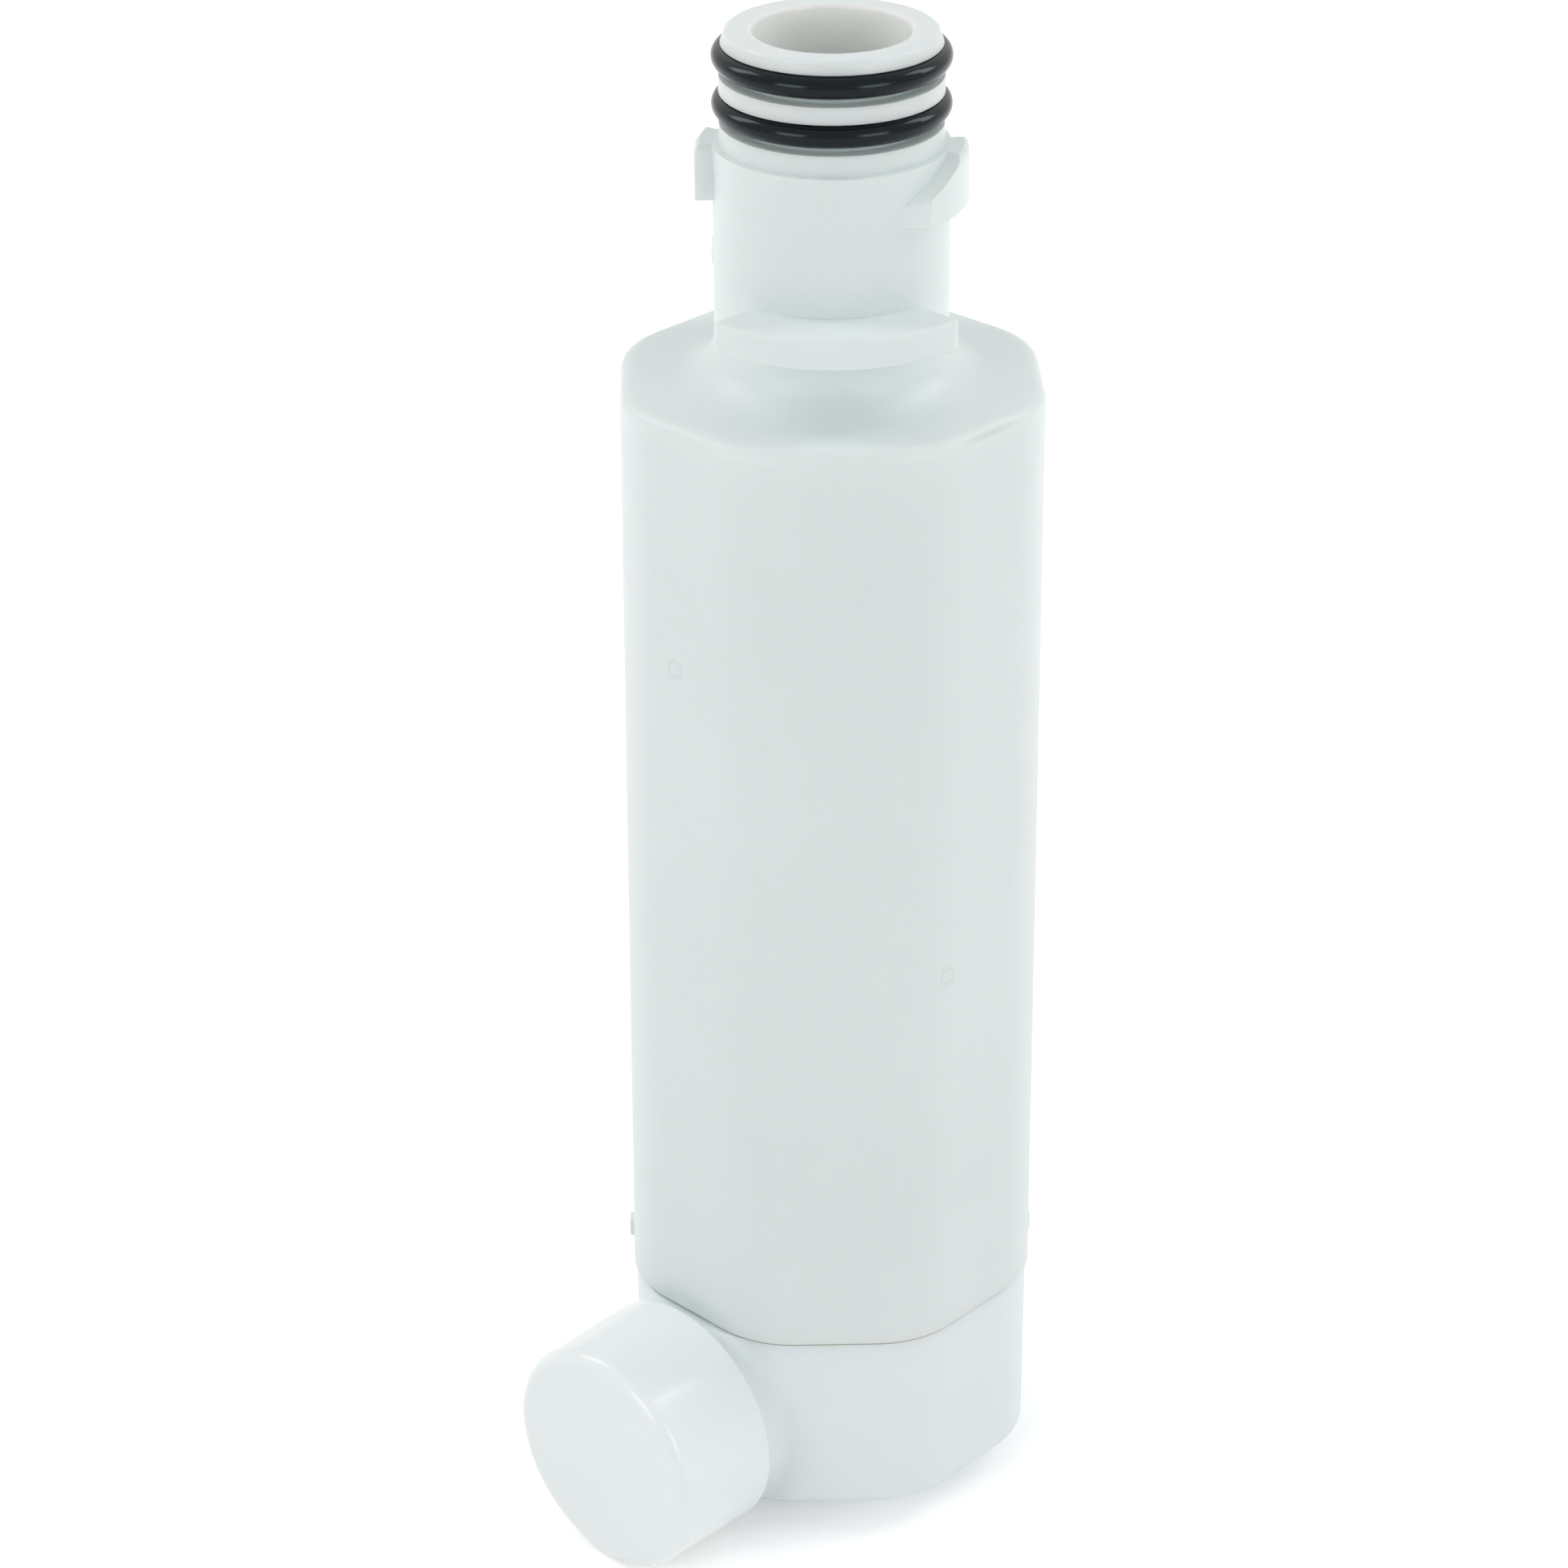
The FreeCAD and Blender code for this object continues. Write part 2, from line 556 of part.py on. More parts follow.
def end_cap():
    """Base welded into the housing, with the nipple's socket, the water channel and the outlet spigot."""
    body = new_body("end_cap")
    top = value_of(CAP_TOP)
    lip_top = value_of(f"{CAP_TOP} + weld_lip")
    floor = value_of("base_thickness")
    add_cap_block(body)
    lip = new_sketch(body, "weld_lip_octagon", "XY_Plane", lift=CAP_TOP)
    octagon(lip, WELD_FLATS)
    pad(body, "weld_lip", lip, "weld_lip")
    lip_round = "corner_radius - housing_wall - weld_slack"
    rounded(body, "weld_lip_corners", lip_round, lambda edge: is_upright(edge, top, lip_top))
    inside = new_sketch(body, "cap_hollow_octagon", "XY_Plane", lift="base_thickness")
    octagon(inside, HOLLOW_FLATS)
    depth = f"{CAP_TOP} + weld_lip - base_thickness"
    pad(body, "cap_hollow", inside, depth, reverse=True, kind="PartDesign::Pocket")
    hollow_round = f"corner_radius - {CAP_WALL}"
    rounded(body, "cap_hollow_corners", hollow_round, lambda edge: is_upright(edge, floor, lip_top))
    add_outlet(body)
    return body


def add_cap_block(body):
    """Octagon with the outlet's boss, the hollow round between them cut off level with both ends."""
    low = value_of("-neck_radius")
    high = value_of(f"{CAP_TOP} + neck_radius")
    base = new_sketch(body, "cap_octagon", "XY_Plane", lift="-neck_radius")
    octagon(base, CAP_FLATS)
    pad(body, "cap_block", base, f"{CAP_TOP} + 2 * neck_radius")
    rounded(body, "cap_corners", "corner_radius", lambda edge: is_upright(edge, low, high))
    reach = f"({CAP_FLATS} / 2 + 2 * boss_cove)"
    boss = new_sketch(body, "boss_outline", "YZ_Plane", shift=OUTLET_HEIGHT)
    outline(boss, [("0", "0"), ("0", "neck_radius"), (f"-{reach}", "neck_radius"), (f"-{reach}", "0")])
    turned(body, "boss", boss, axis="H_Axis")
    boss_height = value_of(OUTLET_HEIGHT)
    boss_radius = value_of("neck_radius")
    boss_front = value_of(f"-{reach}")

    def is_root_edge(edge):
        """True where the boss leaves the octagon."""
        places = [edge.valueAt(edge.FirstParameter + share * (edge.LastParameter - edge.FirstParameter))
                  for share in (0.0, 0.5, 1.0)]
        round_the_boss = all(
            math.isclose(math.hypot(place.x, place.z - boss_height), boss_radius, abs_tol=NEAR)
            for place in places)
        return round_the_boss and edge.BoundBox.YMin > boss_front + NEAR

    rounded(body, "boss_cove", "boss_cove", is_root_edge)
    wide = f"3 * {reach}"
    for name, lift, upward in (("cap_top_trim", CAP_TOP, True), ("cap_base_trim", "0", False)):
        trim = new_sketch(body, f"{name}_outline", "XY_Plane", lift=lift)
        octagon(trim, wide)
        pad(body, name, trim, "2 * neck_radius", reverse=upward, kind="PartDesign::Pocket")
    trim = new_sketch(body, "boss_trim_outline", "XZ_Plane", lift=BOSS_FRONT)
    octagon(trim, wide)
    pad(body, "boss_trim", trim, "2 * boss_cove", reverse=True, kind="PartDesign::Pocket")


def add_outlet(body):
    """Spigot through the wall, and the channel that leads to it from the nipple's socket."""
    spigot = new_sketch(body, "spigot_outline", "YZ_Plane", shift=OUTLET_HEIGHT)
    outline(spigot, [
        (f"-{BOSS_END}", "0"),
        (f"-{BOSS_END}", "neck_radius"),
        on_spigot("neck_radius", SEAL_LENGTH),
        *seal_end_outline(on_spigot),
        (f"-{OUTLET_REACH}", "0"),
    ])
    turned(body, "spigot", spigot, axis="H_Axis")
    socket = new_sketch(body, "socket_outline", "XZ_Plane")
    outline(socket, [
        ("0", "base_thickness / 2"),
        (SOCKET_OUTSIDE, "base_thickness / 2"),
        (SOCKET_OUTSIDE, SOCKET_TOP),
        ("0", SOCKET_TOP),
    ])
    turned(body, "socket", socket)
    channel = new_sketch(body, "channel_outline", "YZ_Plane", shift=OUTLET_HEIGHT)
    outline(channel, [
        ("0", "0"),
        ("0", CHANNEL_OUTSIDE),
        (f"-{CHANNEL_END}", CHANNEL_OUTSIDE),
        (f"-{CHANNEL_END}", "0"),
    ])
    turned(body, "channel", channel, axis="H_Axis")
    socket_bore = new_sketch(body, "socket_bore_outline", "XZ_Plane")
    outline(socket_bore, [
        ("0", SOCKET_FLOOR),
        ("socket_radius", SOCKET_FLOOR),
        ("socket_radius", f"{SOCKET_TOP} + socket_wall"),
        ("0", f"{SOCKET_TOP} + socket_wall"),
    ])
    turned(body, "socket_bore", socket_bore, kind="PartDesign::Groove")
    outlet_bore = new_sketch(body, "outlet_bore_outline", "YZ_Plane", shift=OUTLET_HEIGHT)
    outline(outlet_bore, [
        ("0", "0"),
        ("0", "channel_radius"),
        (f"-{CHANNEL_END}", "channel_radius"),
        (f"-{CHANNEL_END} - bore_cone", BORE_RADIUS),
        on_spigot(BORE_RADIUS, "mouth_round") + ("-mouth_round",),
        on_spigot(f"{BORE_RADIUS} + mouth_round", "0"),
        (f"-{OUTLET_REACH} - mouth_round", f"{BORE_RADIUS} + mouth_round"),
        (f"-{OUTLET_REACH} - mouth_round", "0"),
    ])
    turned(body, "outlet_bore", outlet_bore, axis="H_Axis", kind="PartDesign::Groove")


def protective_cap():
    """Thin cup pushed over the spigot's seal rings, a little wider at its rim."""
    body = new_body("protective_cap")
    cup = new_sketch(body, "cup_outline", "YZ_Plane", shift=OUTLET_HEIGHT)
    outline(cup, [
        (f"-{COVER_RIM}", COVER_INSIDE),
        (f"-{COVER_FLOOR}", COVER_INSIDE),
        (f"-{COVER_FLOOR}", "0"),
        (f"-{COVER_END}", "0"),
        (f"-{COVER_END}", f"{COVER_OUTSIDE} - cover_edge", "-cover_edge"),
        (f"cover_edge - {COVER_END}", COVER_OUTSIDE),
        (f"-{COVER_RIM}", f"{COVER_OUTSIDE} + cover_flare"),
    ])
    turned(body, "cup", cup, axis="H_Axis")
    return body


def sleeve(label, inside, outside):
    """Tube round the axis between the two end plates."""
    outer = doc.addObject("Part::Cylinder", f"{label}_outside")
    inner = doc.addObject("Part::Cylinder", f"{label}_inside")
    for cylinder, radius in ((outer, outside), (inner, inside)):
        bind(cylinder, "Radius", radius)
        bind(cylinder, "Height", f"{BLOCK_HIGH} - {BLOCK_LOW}")
        bind(cylinder, "Placement.Base.z", BLOCK_LOW)
    tube = doc.addObject("Part::Cut", label)
    tube.Label = label
    tube.Base = outer
    tube.Tool = inner
    return tube


def bottom_end_plate():
    """Open plate glued under the block, with the nipple that plugs into the socket."""
    body = new_body("bottom_end_plate")
    plate = new_sketch(body, "bottom_plate_outline", "XZ_Plane")
    groove_low = f"{NIPPLE_SEAL} - {NIPPLE_GROOVE} / 2"
    groove_high = f"{NIPPLE_SEAL} + {NIPPLE_GROOVE} / 2"
    outline(plate, [
        (NIPPLE_BORE, NIPPLE_END),
        (NIPPLE_RADIUS, NIPPLE_END),
        (NIPPLE_RADIUS, groove_low),
        (NIPPLE_FLOOR, groove_low),
        (NIPPLE_FLOOR, groove_high),
        (NIPPLE_RADIUS, groove_high),
        (NIPPLE_RADIUS, SOCKET_TOP),
        (RIM_OUTSIDE, SOCKET_TOP),
        (RIM_OUTSIDE, f"{BLOCK_LOW} + plate_rim"),
        (RIM_INSIDE, f"{BLOCK_LOW} + plate_rim"),
        (RIM_INSIDE, BLOCK_LOW),
        (NIPPLE_BORE, BLOCK_LOW),
    ])
    turned(body, "bottom_plate", plate)
    return body


def top_end_plate():
    """Blind plate glued on the block, with fins that space it from the shoulder."""
    body = new_body("top_end_plate")
    plate = new_sketch(body, "top_plate_outline", "XZ_Plane")
    outline(plate, [
        ("0", BLOCK_HIGH),
        (RIM_INSIDE, BLOCK_HIGH),
        (RIM_INSIDE, f"{BLOCK_HIGH} - plate_rim"),
        (RIM_OUTSIDE, f"{BLOCK_HIGH} - plate_rim"),
        (RIM_OUTSIDE, PLATE_HIGH),
        ("0", PLATE_HIGH),
    ])
    turned(body, "top_plate", plate)
    fin_end = f"({RIM_OUTSIDE} - plate_wall / 2)"
    fin = new_sketch(body, "fin_outline", "XY_Plane", lift=f"{PLATE_HIGH} - plate_thickness / 2")
    outline(fin, [
        (f"{fin_end} - spacer_length", "-spacer_width / 2"),
        (fin_end, "-spacer_width / 2"),
        (fin_end, "spacer_width / 2"),
        (f"{fin_end} - spacer_length", "spacer_width / 2"),
    ])
    block = pad(body, "fin", fin, "spacer_height + plate_thickness / 2")
    ring_of(body, "fins", block, FINS)
    return body


def nipple_ring():
    ring = doc.addObject("Part::Torus", "nipple_o_ring")
    ring.Label = "nipple_o_ring"
    bind(ring, "Radius1", "socket_radius - ring_slack - nipple_ring / 2")
    bind(ring, "Radius2", "nipple_ring / 2")
    bind(ring, "Placement.Base.z", NIPPLE_SEAL)
    return ring


def sub_parts():
    return [
        housing(),
        end_cap(),
        protective_cap(),
        seal_ring("upper_neck_o_ring", OUTER_GROOVE, on_neck=True),
        seal_ring("lower_neck_o_ring", INNER_GROOVE, on_neck=True),
        seal_ring("outer_outlet_o_ring", OUTER_GROOVE, on_neck=False),
        seal_ring("inner_outlet_o_ring", INNER_GROOVE, on_neck=False),
        sleeve("carbon_block", "core_radius", BLOCK_RADIUS),
        sleeve("prefilter_wrap", BLOCK_RADIUS, WRAP_RADIUS),
        top_end_plate(),
        bottom_end_plate(),
        nipple_ring(),
    ]


parts = sub_parts()
doc.recompute()
failed = [item.Name for item in doc.Objects if {"Invalid", "Error"} & set(item.State)]
failed += [part.Label for part in parts if part.Shape.isNull() or not part.Shape.isValid()]
if failed:
    raise RuntimeError(f"not built: {failed}")
os.makedirs("parts", exist_ok=True)
for part in parts:
    part.Shape.exportStep(f"parts/{part.Label}.step")
    print(part.Label, round(part.Shape.Volume, 1), len(part.Shape.Solids), part.Shape.BoundBox)
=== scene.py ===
"""Looks of an octagonal water filter cartridge, in metres, in the frame of its solids.

+Z is up, the neck stands on +Z and the outlet points along -Y.
"""
import math

import bmesh
import bpy
from mathutils import Matrix, Vector


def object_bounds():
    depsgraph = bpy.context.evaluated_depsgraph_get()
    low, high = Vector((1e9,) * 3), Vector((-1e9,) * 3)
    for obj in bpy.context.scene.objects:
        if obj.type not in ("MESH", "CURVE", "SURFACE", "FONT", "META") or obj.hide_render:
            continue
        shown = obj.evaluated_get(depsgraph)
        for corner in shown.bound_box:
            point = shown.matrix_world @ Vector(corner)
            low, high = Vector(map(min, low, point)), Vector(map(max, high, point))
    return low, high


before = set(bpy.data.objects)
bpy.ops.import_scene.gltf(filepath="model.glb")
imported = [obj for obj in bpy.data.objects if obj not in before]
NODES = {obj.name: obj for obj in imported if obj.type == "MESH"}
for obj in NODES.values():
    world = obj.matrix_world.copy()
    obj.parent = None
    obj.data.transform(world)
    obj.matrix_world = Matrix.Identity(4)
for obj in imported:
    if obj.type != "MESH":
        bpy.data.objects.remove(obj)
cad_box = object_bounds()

MM = 0.001

# Camera at the photograph's viewing angle: degrees, metres, and the lens in pixels of the photograph.
CAMERA_AZIMUTH = 43.57
CAMERA_ELEVATION = 27.98
CAMERA_ROLL = -0.25
CAMERA_DISTANCE = 505.18 * MM
AIM_HEIGHT = 92.54 * MM
AIM_SIDE = -5.86 * MM
FOCAL_PIXELS = 4950.7
IMAGE_PIXELS = 1932
SENSOR_WIDTH = 36.0

# Tent of white cloth: strength of its walls, of the dim opening round the camera and of its roof.
WALL_FILL = 0.46
OPENING_FILL = 0.0
OPENING_EDGE = 0.3
OPENING_MIDDLE = 0.95
ROOF_EDGE = 0.5
ROOF_FILL = 0.33
WHITE = (1.0, 1.0, 1.0, 1.0)
SEEN_STRENGTH = 1.0

# Softboxes, one of each kind on either side of the camera: degrees from the camera's azimuth, elevation,
# width and height in metres, and watts.
BACK_SOFTBOX = (108, 42, 0.2, 0.4, 1.05)
FRONT_SOFTBOX = (40, 25, 0.34, 0.3, 1.17)
LAMP_AIM = 0.03
LAMP_DISTANCE = 0.8

# Floor: its reach and its room under the lowest piece, and where its glow begins and ends, in metres.
FLOOR_COLOUR = "FCFCFC"
FLOOR_HALF = 4.0
FLOOR_GAP = 0.2 * MM
FLOOR_NEAR = 0.1
FLOOR_FAR = 0.6
FLOOR_NEAR_GLOW = 0.3
FLOOR_FAR_GLOW = 0.8

# Places of a colour Mix node's sockets.
MIX_FACTOR = 0
MIX_FIRST = 6
MIX_SECOND = 7
MIX_RESULT = 2

# Most values of a noise texture lie between these.
NOISE_LOW = 0.3
NOISE_HIGH = 0.7

# Polypropylene: sizes in millimetres, and the least and most roughness.
CLOUD_SIZE = 30
SKIN_GRAIN = 0.5
SKIN_DEPTH = 0.05
SKIN_STRENGTH = 0.06
POLYPROPYLENE_IOR = 1.49
POLYPROPYLENE_ROUGHNESS = (0.36, 0.44)
POLYPROPYLENE_SCATTER = 0.6
POLYPROPYLENE_REACH = 2.0

# Polyethylene, in the same way.
FLOW_SIZE = 9
POLYETHYLENE_IOR = 1.51
POLYETHYLENE_ROUGHNESS = (0.16, 0.26)
POLYETHYLENE_SCATTER = 0.15
POLYETHYLENE_REACH = 1.0
EVEN_REACH = (1.0, 1.0, 1.0)

# Nitrile rubber.
FILM_SIZE = 4
NITRILE_IOR = 1.52
NITRILE_SPECULAR = 0.24
NITRILE_ROUGHNESS = (0.12, 0.2)

# Carbon grain and fibres of the wrap, in millimetres.
GRAIN_SIZE = 0.6
GRAIN_DEPTH = 0.2
GRAIN_STRENGTH = 0.6
CARBON_ROUGHNESS = 0.85
FIBRE_SPACING = 3
FIBRE_DEPTH = 0.1
FIBRE_STRENGTH = 0.4
FIBRE_BEND = 14.0
FIBRE_DETAIL = 4.0
FIBRE_DETAIL_SCALE = 3.0
WRAP_ROUGHNESS = 0.9

# Marks of the mould on the housing, a darker streak under the shoulder's rim, and the radii of the neck's
# bore, which is painted paler as painted light, in millimetres.
EJECTOR_MARKS = ((25.6, -6.4, 77.6), (-1.7, -25.4, 117.2))
EJECTOR_RADIUS = 1.05
EJECTOR_LINE = 0.25
DARK_STREAK_CENTRE = (25.0, 0.0, 147.55)
DARK_STREAK_REACH = (1.5, 5.5, 0.6)
DARK_STREAK_STRENGTH = 0.45
BORE_RADIUS = 9.4
BORE_EDGE = 9.8

# Height of the welding lip that shows in the seam, painted brown as painted shade, and the Y at which the
# outlet's boss, which isn't painted, ends.
SEAM_SHADE_FROM = 24.78
SEAM_SHADE_TO = 24.82
BOSS_INSIDE = -25.6
LIP_OUTSIDE = -25.4


def linear(channel):
    """Linear value of an sRGB channel from 0 to 1."""
    return channel / 12.92 if channel <= 0.04045 else ((channel + 0.055) / 1.055) ** 2.4


def colour(code):
    """Linear RGBA of an sRGB hex code."""
    channels = [int(code[start:start + 2], 16) / 255 for start in (0, 2, 4)]
    return (*[linear(channel) for channel in channels], 1.0)


def add_node(tree, kind, inputs=None, **settings):
    """One node with its settings; each input is a value or a socket to link from."""
    node = tree.nodes.new(kind)
    for name, value in settings.items():
        setattr(node, name, value)
    for name, value in (inputs or {}).items():
        if isinstance(value, bpy.types.NodeSocket):
            tree.links.new(value, node.inputs[name])
        else:
            node.inputs[name].default_value = value
    return node


def new_material(name):
    """Empty material, its node tree and the Object coordinates in it."""
    material = bpy.data.materials.new(name)
    material.use_nodes = True
    tree = material.node_tree
    tree.nodes.clear()
    return material, tree, add_node(tree, "ShaderNodeTexCoord").outputs["Object"]


def per_metre(size_mm):
    """Texture scale for a pattern whose features are that many millimetres across."""
    return 1.0 / (size_mm * MM)


def housing_marks_and_painted_bore(tree, place):
    """Masks and colours of the neck's bore, painted paler and warmer as painted light, of the ejector pins'
    rings and of a darker streak under the shoulder's rim.
    """
    flat = add_node(tree, "ShaderNodeMapping", {"Vector": place, "Scale": (1.0, 1.0, 0.0)})
    radius = add_node(tree, "ShaderNodeVectorMath", {0: flat.outputs["Vector"]}, operation="LENGTH")
    bore = add_node(tree, "ShaderNodeMapRange", {
        "Value": radius.outputs["Value"], "From Min": BORE_RADIUS * MM, "From Max": BORE_EDGE * MM,
        "To Min": 1.0, "To Max": 0.0})
    # The neck's bore is painted paler and warmer than the housing: painted light inside the bore.
    layers = [(bore.outputs["Result"], "FAFDF8")]
    for centre in EJECTOR_MARKS:
        reach = add_node(tree, "ShaderNodeVectorMath", {0: place, 1: Vector(centre) * MM},
                         operation="DISTANCE")
        off = add_node(tree, "ShaderNodeMath", {0: reach.outputs["Value"], 1: EJECTOR_RADIUS * MM},
                       operation="SUBTRACT")
        gap = add_node(tree, "ShaderNodeMath", {0: off.outputs[0]}, operation="ABSOLUTE")
        ring = add_node(tree, "ShaderNodeMapRange", {
            "Value": gap.outputs[0], "From Max": EJECTOR_LINE * MM, "To Min": 1.0, "To Max": 0.0})
        layers.append((ring.outputs["Result"], "E1EAE9"))
    # A darker streak along the shoulder's rim, fading out from its middle.
    local = add_node(tree, "ShaderNodeMapping", {
        "Vector": place, "Location": Vector(DARK_STREAK_CENTRE) * MM, "Scale": Vector(DARK_STREAK_REACH) * MM},
        vector_type="TEXTURE")
    reach = add_node(tree, "ShaderNodeVectorMath", {0: local.outputs["Vector"]}, operation="LENGTH")
    dark_streak = add_node(tree, "ShaderNodeMapRange", {
        "Value": reach.outputs["Value"], "To Min": DARK_STREAK_STRENGTH, "To Max": 0.0})
    layers.append((dark_streak.outputs["Result"], "C4CBC9"))
    return layers


def painted_seam_shade(tree, place):
    """Mask and colour of painted shade: the welding lip that shows in the seam, painted a warm brown."""
    spot = add_node(tree, "ShaderNodeSeparateXYZ", {"Vector": place})
    lip = add_node(tree, "ShaderNodeMapRange", {
        "Value": spot.outputs["Z"], "From Min": SEAM_SHADE_FROM * MM, "From Max": SEAM_SHADE_TO * MM})
    inside = add_node(tree, "ShaderNodeMapRange", {
        "Value": spot.outputs["Y"], "From Min": BOSS_INSIDE * MM, "From Max": LIP_OUTSIDE * MM})
    both = add_node(tree, "ShaderNodeMath", {0: lip.outputs["Result"], 1: inside.outputs["Result"]},
                    operation="MULTIPLY")
    # Painted shade of the seam, a warm brown on the lip.
    return [(both.outputs[0], "B0905E")]


def white_polypropylene(name, shade, light, marks_and_painted_light):
    """Injection-moulded polypropylene: cool white, half gloss, faintly cloudy, with a fine eroded skin."""
    material, tree, place = new_material(name)
    clouds = add_node(tree, "ShaderNodeTexNoise", {
        "Vector": place, "Scale": per_metre(CLOUD_SIZE), "Detail": 3.0})
    tint = add_node(tree, "ShaderNodeValToRGB", {"Fac": clouds.outputs["Fac"]})
    tint.color_ramp.elements[0].position = NOISE_LOW
    tint.color_ramp.elements[0].color = colour(shade)
    tint.color_ramp.elements[1].position = NOISE_HIGH
    tint.color_ramp.elements[1].color = colour(light)
    paint = tint.outputs["Color"]
    # Layers from the given function, the mould's rings and painted light and shade among them, are mixed
    # over the cloudy tint.
    for mask, code in marks_and_painted_light(tree, place):
        layer = add_node(tree, "ShaderNodeMix", {
            MIX_FACTOR: mask, MIX_FIRST: paint, MIX_SECOND: colour(code)}, data_type="RGBA")
        paint = layer.outputs[MIX_RESULT]
    skin = add_node(tree, "ShaderNodeTexNoise", {
        "Vector": place, "Scale": per_metre(SKIN_GRAIN), "Detail": 2.0})
    relief = add_node(tree, "ShaderNodeBump", {
        "Height": skin.outputs["Fac"], "Strength": SKIN_STRENGTH, "Distance": SKIN_DEPTH * MM})
    smooth, dull = POLYPROPYLENE_ROUGHNESS
    gloss = add_node(tree, "ShaderNodeMapRange", {
        "Value": clouds.outputs["Fac"], "From Min": NOISE_LOW, "From Max": NOISE_HIGH,
        "To Min": smooth, "To Max": dull})
    shader = add_node(tree, "ShaderNodeBsdfPrincipled", {
        "Base Color": paint, "Roughness": gloss.outputs["Result"], "IOR": POLYPROPYLENE_IOR,
        "Normal": relief.outputs["Normal"], "Subsurface Weight": POLYPROPYLENE_SCATTER,
        "Subsurface Scale": POLYPROPYLENE_REACH * MM, "Subsurface Radius": EVEN_REACH})
    add_node(tree, "ShaderNodeOutputMaterial", {"Surface": shader.outputs["BSDF"]})
    return material


def natural_polyethylene():
    """Uncoloured low-density polyethylene: milky, lets light through, waxy sheen."""
    material, tree, place = new_material("natural_moulded_polyethylene")
    flow = add_node(tree, "ShaderNodeTexNoise", {
        "Vector": place, "Scale": per_metre(FLOW_SIZE), "Detail": 2.0})
    smooth, dull = POLYETHYLENE_ROUGHNESS
    gloss = add_node(tree, "ShaderNodeMapRange", {
        "Value": flow.outputs["Fac"], "To Min": smooth, "To Max": dull})
    shader = add_node(tree, "ShaderNodeBsdfPrincipled", {
        "Base Color": colour("F8FFFF"), "Roughness": gloss.outputs["Result"], "IOR": POLYETHYLENE_IOR,
        "Subsurface Weight": POLYETHYLENE_SCATTER, "Subsurface Scale": POLYETHYLENE_REACH * MM,
        "Subsurface Radius": EVEN_REACH})
    add_node(tree, "ShaderNodeOutputMaterial", {"Surface": shader.outputs["BSDF"]})
    return material


def nitrile_rubber():
    """Moulded nitrile rubber with a film of grease: near black, with soft broad highlights."""
    material, tree, place = new_material("black_moulded_nitrile")
    film = add_node(tree, "ShaderNodeTexNoise", {
        "Vector": place, "Scale": per_metre(FILM_SIZE), "Detail": 3.0})
    smooth, dull = NITRILE_ROUGHNESS
    gloss = add_node(tree, "ShaderNodeMapRange", {
        "Value": film.outputs["Fac"], "To Min": smooth, "To Max": dull})
    shader = add_node(tree, "ShaderNodeBsdfPrincipled", {
        "Base Color": colour("050708"), "Roughness": gloss.outputs["Result"], "IOR": NITRILE_IOR,
        "Specular IOR Level": NITRILE_SPECULAR, "Specular Tint": colour("DCF0FF")})
    add_node(tree, "ShaderNodeOutputMaterial", {"Surface": shader.outputs["BSDF"]})
    return material


def pressed_carbon():
    """Sintered carbon block: black, dull, with grains a few tenths of a millimetre across."""
    material, tree, place = new_material("sintered_carbon_grain")
    grain = add_node(tree, "ShaderNodeTexVoronoi", {"Vector": place, "Scale": per_metre(GRAIN_SIZE)})
    tint = add_node(tree, "ShaderNodeValToRGB", {"Fac": grain.outputs["Distance"]})
    tint.color_ramp.elements[0].color = colour("3A3A3C")
    tint.color_ramp.elements[1].color = colour("141415")
    bump = add_node(tree, "ShaderNodeBump", {
        "Height": grain.outputs["Distance"], "Strength": GRAIN_STRENGTH, "Distance": GRAIN_DEPTH * MM})
    shader = add_node(tree, "ShaderNodeBsdfPrincipled", {
        "Base Color": tint.outputs["Color"], "Roughness": CARBON_ROUGHNESS,
        "Normal": bump.outputs["Normal"]})
    add_node(tree, "ShaderNodeOutputMaterial", {"Surface": shader.outputs["BSDF"]})
    return material


def nonwoven_wrap():
    """Spun-bonded polypropylene sleeve: matt white, crossed by long bonded fibres."""
    material, tree, place = new_material("spunbonded_polypropylene")
    fibres = add_node(tree, "ShaderNodeTexWave", {
        "Vector": place, "Scale": per_metre(FIBRE_SPACING), "Distortion": FIBRE_BEND,
        "Detail": FIBRE_DETAIL, "Detail Scale": FIBRE_DETAIL_SCALE})
    tint = add_node(tree, "ShaderNodeValToRGB", {"Fac": fibres.outputs["Fac"]})
    tint.color_ramp.elements[0].color = colour("D5D9D9")
    tint.color_ramp.elements[1].color = colour("EEF0F0")
    bump = add_node(tree, "ShaderNodeBump", {
        "Height": fibres.outputs["Fac"], "Strength": FIBRE_STRENGTH, "Distance": FIBRE_DEPTH * MM})
    shader = add_node(tree, "ShaderNodeBsdfPrincipled", {
        "Base Color": tint.outputs["Color"], "Roughness": WRAP_ROUGHNESS,
        "Normal": bump.outputs["Normal"]})
    add_node(tree, "ShaderNodeOutputMaterial", {"Surface": shader.outputs["BSDF"]})
    return material


def dress(material, *names):
    """Gives CAD nodes a finish."""
    for name in names:
        slots = NODES[name].data.materials
        slots.clear()
        slots.append(material)


def turned_frame(azimuth, elevation):
    """Unit vectors right, up and back of a viewer at that azimuth and elevation in degrees."""
    turn = math.radians(azimuth)
    rise = math.radians(elevation)
    back = Vector((math.sin(turn) * math.cos(rise), -math.cos(turn) * math.cos(rise), math.sin(rise)))
    right = Vector((math.cos(turn), math.sin(turn), 0.0))
    return right, back.cross(right), back


def placed(right, up, back, at):
    """Matrix that looks along -back from a point, with the picture's right and up."""
    return Matrix.Translation(at) @ Matrix((right, up, back)).transposed().to_4x4()


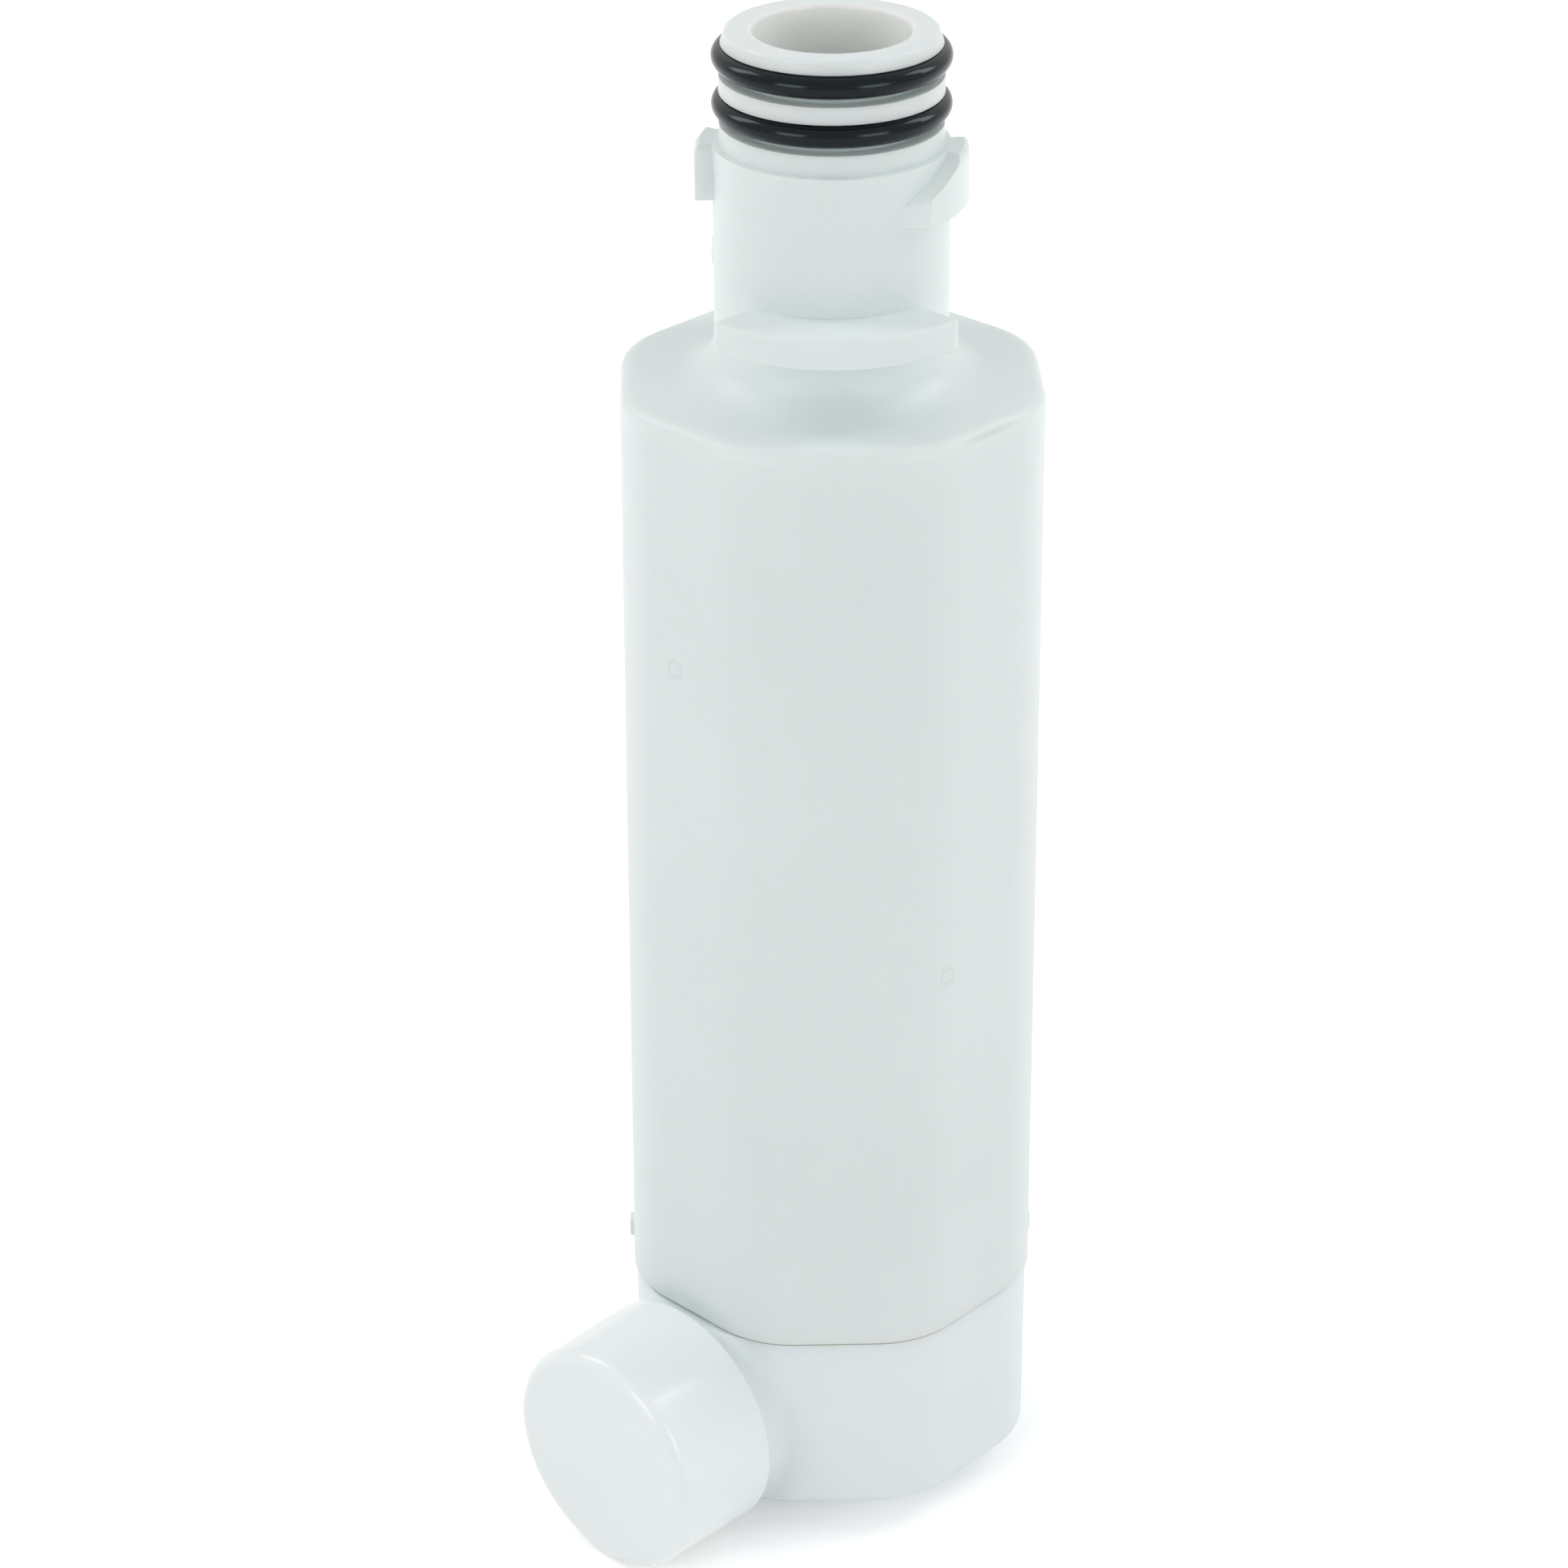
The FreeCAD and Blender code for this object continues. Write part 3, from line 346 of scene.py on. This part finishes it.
def photo_camera():
    """Camera at the photograph's viewing angle, aimed beside the middle of the cartridge."""
    right, up, back = turned_frame(CAMERA_AZIMUTH, CAMERA_ELEVATION)
    aim = Vector((0.0, 0.0, AIM_HEIGHT)) + right * AIM_SIDE
    roll = math.radians(CAMERA_ROLL)
    rolled_right = right * math.cos(roll) + up * math.sin(roll)
    rolled_up = up * math.cos(roll) - right * math.sin(roll)
    data = bpy.data.cameras.new("photo_camera")
    data.sensor_width = SENSOR_WIDTH
    data.lens = FOCAL_PIXELS / IMAGE_PIXELS * SENSOR_WIDTH
    camera = bpy.data.objects.new("photo_camera", data)
    camera.matrix_world = placed(rolled_right, rolled_up, back, aim + back * CAMERA_DISTANCE)
    bpy.context.scene.collection.objects.link(camera)
    bpy.context.scene.camera = camera


def softbox(name, azimuth, elevation, width, height, watts):
    """Area lamp that faces the lower half of the cartridge."""
    right, up, back = turned_frame(azimuth, elevation)
    data = bpy.data.lights.new(name, "AREA")
    data.shape = "RECTANGLE"
    data.size = width
    data.size_y = height
    data.energy = watts
    lamp = bpy.data.objects.new(name, data)
    lamp.matrix_world = placed(right, up, back, Vector((0.0, 0.0, LAMP_AIM)) + back * LAMP_DISTANCE)
    bpy.context.scene.collection.objects.link(lamp)


def seen_directly(tree):
    """1 for rays from the camera and for what gloss and clear pieces show, else 0."""
    path = add_node(tree, "ShaderNodeLightPath")
    first = add_node(tree, "ShaderNodeMath", {
        0: path.outputs["Is Camera Ray"], 1: path.outputs["Is Glossy Ray"]}, operation="MAXIMUM")
    both = add_node(tree, "ShaderNodeMath", {
        0: first.outputs[0], 1: path.outputs["Is Transmission Ray"]}, operation="MAXIMUM")
    return both.outputs[0]


def studio_world():
    """White where it is seen; where it lights, a soft tent with a dim opening round the camera."""
    world = bpy.data.worlds.new("studio_world")
    bpy.context.scene.world = world
    world.use_nodes = True
    tree = world.node_tree
    tree.nodes.clear()
    direction = add_node(tree, "ShaderNodeTexCoord").outputs["Generated"]
    toward_camera = turned_frame(CAMERA_AZIMUTH, 0)[2]
    side = add_node(tree, "ShaderNodeVectorMath", {0: direction, 1: toward_camera},
                    operation="DOT_PRODUCT")
    wall = add_node(tree, "ShaderNodeMapRange", {
        "Value": side.outputs["Value"], "From Min": OPENING_EDGE, "From Max": OPENING_MIDDLE,
        "To Min": WALL_FILL, "To Max": OPENING_FILL}, interpolation_type="SMOOTHSTEP")
    height = add_node(tree, "ShaderNodeSeparateXYZ", {"Vector": direction}).outputs["Z"]
    roof = add_node(tree, "ShaderNodeMapRange", {
        "Value": height, "From Min": ROOF_EDGE, "To Max": ROOF_FILL})
    fill = add_node(tree, "ShaderNodeMath", {0: wall.outputs["Result"], 1: roof.outputs["Result"]},
                    operation="ADD")
    strength = add_node(tree, "ShaderNodeMix", {
        "Factor": seen_directly(tree), "A": fill.outputs[0], "B": SEEN_STRENGTH})
    shine = add_node(tree, "ShaderNodeBackground", {
        "Color": WHITE, "Strength": strength.outputs["Result"]})
    add_node(tree, "ShaderNodeOutputWorld", {"Surface": shine.outputs["Background"]})


def floor():
    """Wide pale floor just under the lowest piece; it brightens away from the cartridge and its shadow."""
    material, tree, place = new_material("white_floor")
    matt = add_node(tree, "ShaderNodeBsdfDiffuse", {"Color": colour(FLOOR_COLOUR)})
    away = add_node(tree, "ShaderNodeVectorMath", {0: place}, operation="LENGTH")
    glow = add_node(tree, "ShaderNodeMapRange", {
        "Value": away.outputs["Value"], "From Min": FLOOR_NEAR, "From Max": FLOOR_FAR,
        "To Min": FLOOR_NEAR_GLOW, "To Max": FLOOR_FAR_GLOW}, interpolation_type="SMOOTHSTEP")
    lift = add_node(tree, "ShaderNodeMath", {0: seen_directly(tree), 1: glow.outputs["Result"]},
                    operation="MULTIPLY")
    shine = add_node(tree, "ShaderNodeEmission", {"Strength": lift.outputs[0]})
    both = add_node(tree, "ShaderNodeAddShader", {0: matt.outputs[0], 1: shine.outputs[0]})
    add_node(tree, "ShaderNodeOutputMaterial", {"Surface": both.outputs[0]})
    mesh = bpy.data.meshes.new("floor")
    shape = bmesh.new()
    bmesh.ops.create_grid(shape, x_segments=1, y_segments=1, size=FLOOR_HALF,
                          matrix=Matrix.Translation((0.0, 0.0, cad_box[0].z - FLOOR_GAP)))
    shape.to_mesh(mesh)
    shape.free()
    mesh.materials.append(material)
    ground = bpy.data.objects.new("floor", mesh)
    bpy.context.scene.collection.objects.link(ground)


dress(white_polypropylene("housing_moulded_polypropylene", "E8F1F0", "ECF4F3", housing_marks_and_painted_bore),
      "housing", "top_end_plate", "bottom_end_plate")
# The end cap's tint is paler and bluer than the housing's: painted light for the brighter light near the
# floor.
dress(white_polypropylene("end_cap_moulded_polypropylene", "EEFAFD", "F2FDFF", painted_seam_shade), "end_cap")
dress(natural_polyethylene(), "protective_cap")
dress(nitrile_rubber(), "upper_neck_o_ring", "lower_neck_o_ring", "outer_outlet_o_ring",
      "inner_outlet_o_ring", "nipple_o_ring")
dress(pressed_carbon(), "carbon_block")
dress(nonwoven_wrap(), "prefilter_wrap")

photo_camera()
studio_world()
floor()
for hand, sign in (("left", -1), ("right", 1)):
    for side, (turn, *shape) in (("back", BACK_SOFTBOX), ("front", FRONT_SOFTBOX)):
        softbox(f"{hand}_{side}_softbox", CAMERA_AZIMUTH + sign * turn, *shape)
bpy.context.scene.view_settings.view_transform = "Standard"
